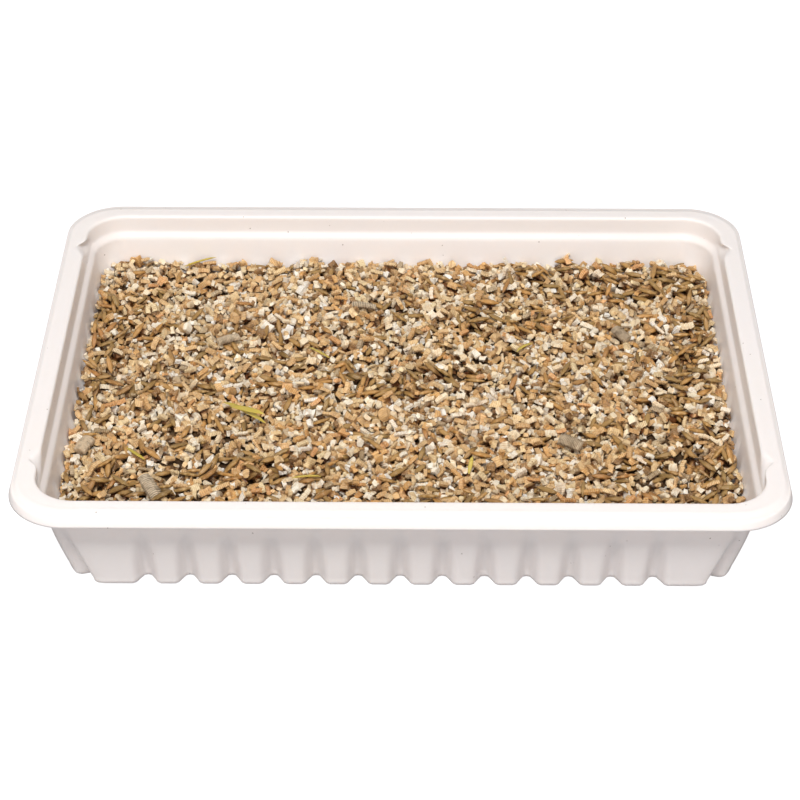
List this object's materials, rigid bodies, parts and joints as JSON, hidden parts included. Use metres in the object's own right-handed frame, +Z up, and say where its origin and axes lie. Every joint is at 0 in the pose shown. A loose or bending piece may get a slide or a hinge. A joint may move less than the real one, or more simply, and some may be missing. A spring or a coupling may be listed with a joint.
{
  "type": "filled growing tray",
  "caption": "White moulded growing tray with fluted walls and a wide turned-down rim, filled with vermiculite granules and grass seed, with bits of dry straw on top.",
  "frame": {"origin": "middle of the tray's footprint, on the surface that it stands on", "axes": "+X along the tray's long side, +Y from the front wall to the back wall, +Z up"},
  "size_m": [0.282, 0.218, 0.0457],
  "materials": {
    "white_plastic": "semi-gloss white",
    "vermiculite": "dry, layered golden-brown granules",
    "seed_husk": "dry tan husk",
    "dry_straw": "yellow-green dry straw",
    "silver_flake": "grey-brown layered flake"
  },
  "bodies": {
    "root": {"seeds_back_middle": "seed_husk", "seeds_back_right_corner": "seed_husk", "seeds_front_left": "seed_husk", "seeds_front_left_corner": "seed_husk", "seeds_front_wall": "seed_husk", "seeds_left_wall": "seed_husk", "seeds_middle": "seed_husk", "seeds_right_wall": "seed_husk", "straw_1": "dry_straw", "straw_2": "dry_straw", "straw_3": "dry_straw", "straw_4": "dry_straw", "straw_5": "dry_straw", "straw_6": "dry_straw", "straw_7": "dry_straw", "tray": "white_plastic", "vermiculite_bed": "vermiculite", "vermiculite_flake_1": "silver_flake", "vermiculite_flake_2": "silver_flake", "vermiculite_flake_3": "silver_flake", "vermiculite_flake_4": "silver_flake", "vermiculite_flake_5": "silver_flake", "vermiculite_flake_6": "silver_flake"}
  },
  "joints": []
}
